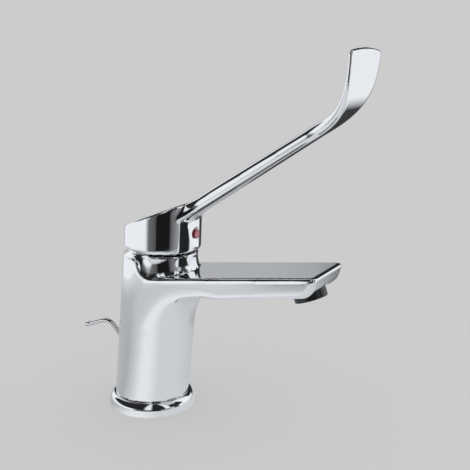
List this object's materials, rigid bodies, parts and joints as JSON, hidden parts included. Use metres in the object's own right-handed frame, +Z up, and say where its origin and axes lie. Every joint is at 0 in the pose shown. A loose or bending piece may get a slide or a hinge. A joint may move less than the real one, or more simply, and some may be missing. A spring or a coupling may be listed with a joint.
{
  "type": "elbow lever basin tap",
  "caption": "Chromed single-lever basin tap with a long elbow lever ending in an upturned paddle, a flat-topped spout, an aerator and a pop-up pull rod.",
  "frame": {"origin": "centre of the base ring on the deck", "axes": "+Z up from the deck, +X along the spout, +Y to the side"},
  "size_m": [0.1943, 0.0552, 0.2256],
  "materials": {
    "chrome": "polished",
    "aerator_chrome": "polished",
    "steel": "plain",
    "brass": "machined",
    "copper": "drawn tube",
    "rubber": "matt",
    "ceramic": "lapped",
    "white_plastic": "moulded",
    "red_plastic": "gloss",
    "red_lens": "gloss"
  },
  "bodies": {
    "root": {"tap_body": "chrome", "base_ring": "chrome", "base_gasket": "rubber", "hot_tube": "copper", "cold_tube": "copper", "rod_bush": "white_plastic", "cartridge_base": "white_plastic", "cold_seal": "rubber", "hot_seal": "rubber", "outlet_seal": "rubber", "fixed_disc": "ceramic", "cartridge_housing": "white_plastic", "retaining_nut": "brass", "cartridge_cover": "chrome", "aerator_housing": "aerator_chrome", "aerator_insert": "white_plastic", "aerator_screen": "steel", "aerator_washer": "rubber"},
    "swivel": {"cartridge_rotor": "white_plastic", "pivot_pin": "steel"},
    "disc": {"disc_carrier": "white_plastic", "moving_disc": "ceramic"},
    "lever": {"elbow_lever": "chrome", "lever_spindle": "steel", "grub_screw": "steel", "indicator_plug": "red_plastic", "indicator_lens": "red_lens"},
    "rod": {"pull_rod": "chrome"}
  },
  "joints": [
    {"name": "temperature_turn", "type": "hinge", "parent": "root", "child": "swivel", "pos_m": [0.0104, 0, 0.1056], "axis": [0.0454, 0, 0.999], "range_deg": [-35, 35]},
    {"name": "flow_lift", "type": "hinge", "parent": "swivel", "child": "lever", "pos_m": [0.005, 0, 0.09684], "axis": [0, -1, 0], "range_deg": [0, 12]},
    {"name": "disc_slide", "type": "slide", "parent": "swivel", "child": "disc", "axis": [0.999, 0, -0.0454], "range_m": [0, 0.0022]},
    {"name": "rod_pull", "type": "slide", "parent": "root", "child": "rod", "axis": [0, 0, 1], "range_m": [0, 0.012]}
  ],
  "couplings": [
    {"joint": "disc_slide", "follows": "flow_lift", "m_per_rad": 0.0101}
  ]
}
